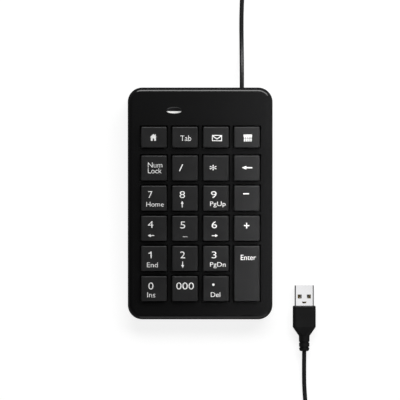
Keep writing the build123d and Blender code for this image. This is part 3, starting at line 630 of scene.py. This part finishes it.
def panel(name, left, right, front, rear, height, material):
    mesh = bpy.data.meshes.new(name)
    corners = [(left, front, height), (right, front, height), (right, rear, height), (left, rear, height)]
    mesh.from_pydata(corners, [], [(0, 1, 2, 3)])
    mesh.materials.append(material)
    piece = bpy.data.objects.new(name, mesh)
    bpy.context.scene.collection.objects.link(piece)
    return piece


def make_floor():
    material, tree, shader, place = new_material("pale floor")
    tone = spread(tree, noise(tree, place, 0.3), 0, 1)
    tree.links.new(tinted(tree, tone, (0.29, 0.29, 0.29), (0.3, 0.3, 0.3)), shader.inputs["Base Color"])
    shader.inputs["Roughness"].default_value = 0.9
    shader.inputs["Specular IOR Level"].default_value = 0.0
    shader.inputs["Emission Color"].default_value = (1, 1, 1, 1)
    shader.inputs["Emission Strength"].default_value = 0.84
    half = 3.0
    floor = panel("floor", -half, half, -half, half, 0, material)
    floor.visible_glossy = False
    floor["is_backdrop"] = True


def softbox(name, azimuth, from_vertical, distance, width, height, radiance, target=(0, 0, 0)):
    """A soft panel that faces the target. Azimuth 0 is to the rear of it, and 90 to the right."""
    turn, lean = math.radians(azimuth), math.radians(from_vertical)
    data = bpy.data.lights.new(name, "AREA")
    data.shape = "RECTANGLE"
    data.size, data.size_y = width, height
    data.energy = math.pi * width * height * radiance
    light = bpy.data.objects.new(name, data)
    towards = Vector((math.sin(lean) * math.sin(turn), math.sin(lean) * math.cos(turn), math.cos(lean)))
    light.location = Vector(target) + towards * distance
    light.rotation_euler = towards.to_track_quat("Z", "Y").to_euler()
    bpy.context.scene.collection.objects.link(light)
    return light


def lights_only(light, name, pieces):
    """The light falls on these pieces and on nothing else."""
    receivers = bpy.data.collections.new(f"lit {name}")
    for piece in pieces:
        receivers.objects.link(piece)
    light.light_linking.receiver_collection = receivers


def make_canopy():
    """A dim panel close overhead that shows only in reflections, darker to the left and to the front."""
    material = bpy.data.materials.new("canopy glow")
    material.use_nodes = True
    tree = material.node_tree
    tree.nodes.clear()
    place = tree.nodes.new("ShaderNodeTexCoord").outputs["Object"]
    split = tree.nodes.new("ShaderNodeSeparateXYZ")
    tree.links.new(place, split.inputs["Vector"])
    to_right = spread(tree, split.outputs["X"], 0.0, 0.08, start=-0.08, end=0.07)
    to_rear = spread(tree, split.outputs["Y"], 0.0, 0.05, start=-0.12, end=0.06)
    both = tree.nodes.new("ShaderNodeMath")
    tree.links.new(to_right, both.inputs[0])
    tree.links.new(to_rear, both.inputs[1])
    glow = tree.nodes.new("ShaderNodeEmission")
    tree.links.new(both.outputs["Value"], glow.inputs["Strength"])
    output = tree.nodes.new("ShaderNodeOutputMaterial")
    tree.links.new(glow.outputs["Emission"], output.inputs["Surface"])
    canopy = panel("canopy", left=-0.8, right=0.8, front=-0.2, rear=0.1, height=0.22, material=material)
    for sight in ("camera", "diffuse", "shadow", "transmission", "volume_scatter"):
        setattr(canopy, f"visible_{sight}", False)
    canopy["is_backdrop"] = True


def make_world():
    """A dim surround: dark overhead, lighter towards the horizon, and no darker below it."""
    world = bpy.data.worlds.new("studio")
    world.use_nodes = True
    tree = world.node_tree
    background = next(node for node in tree.nodes if node.type == "BACKGROUND")
    direction = tree.nodes.new("ShaderNodeTexCoord").outputs["Generated"]
    split = tree.nodes.new("ShaderNodeSeparateXYZ")
    tree.links.new(direction, split.inputs["Vector"])
    ramp = tree.nodes.new("ShaderNodeValToRGB")
    tree.links.new(split.outputs["Z"], ramp.inputs["Fac"])
    stops = ((0.0, 0.12), (0.5, 0.1), (1.0, 0.04))
    ramp.color_ramp.elements[0].position, ramp.color_ramp.elements[1].position = stops[0][0], stops[2][0]
    ramp.color_ramp.elements.new(stops[1][0])
    for element, (position, tone) in zip(ramp.color_ramp.elements, stops):
        element.position = position
        element.color = (tone, tone, tone, 1)
    tree.links.new(ramp.outputs["Color"], background.inputs["Color"])
    bpy.context.scene.world = world


def make_lights():
    """Two large softboxes, a strip over the keypad's right edge, and a small one over the plug's shell."""
    softbox("rear light", azimuth=15, from_vertical=44, distance=1.2, width=1.5, height=0.52, radiance=6.0)
    softbox("front light", azimuth=165, from_vertical=68, distance=1.2, width=1.2, height=0.6, radiance=0.7)
    deck_middle = Vector((0, 0, 0.0185))
    fill = softbox("right fill", azimuth=0, from_vertical=0, distance=0.05, width=0.02, height=0.3,
                   radiance=9.0, target=DECK @ Vector((0.06, 0.03, 0.0)) + deck_middle)
    fill.visible_glossy = False
    off_keypad = (*PLUG, "cord", "cord_tie")
    on_keypad = [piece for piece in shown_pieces() if body_of(piece) and piece.name not in off_keypad]
    lights_only(fill, "keypad", on_keypad)
    plug_light = softbox("plug light", azimuth=0, from_vertical=0, distance=0.12, width=0.12, height=0.12,
                         radiance=0.95, target=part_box("plug_shell")[1])
    lights_only(plug_light, "plug", [frame["nodes"]["plug_shell"]])


make_camera()
make_floor()
make_canopy()
make_lights()
make_world()
bpy.context.scene.view_settings.view_transform = "Standard"
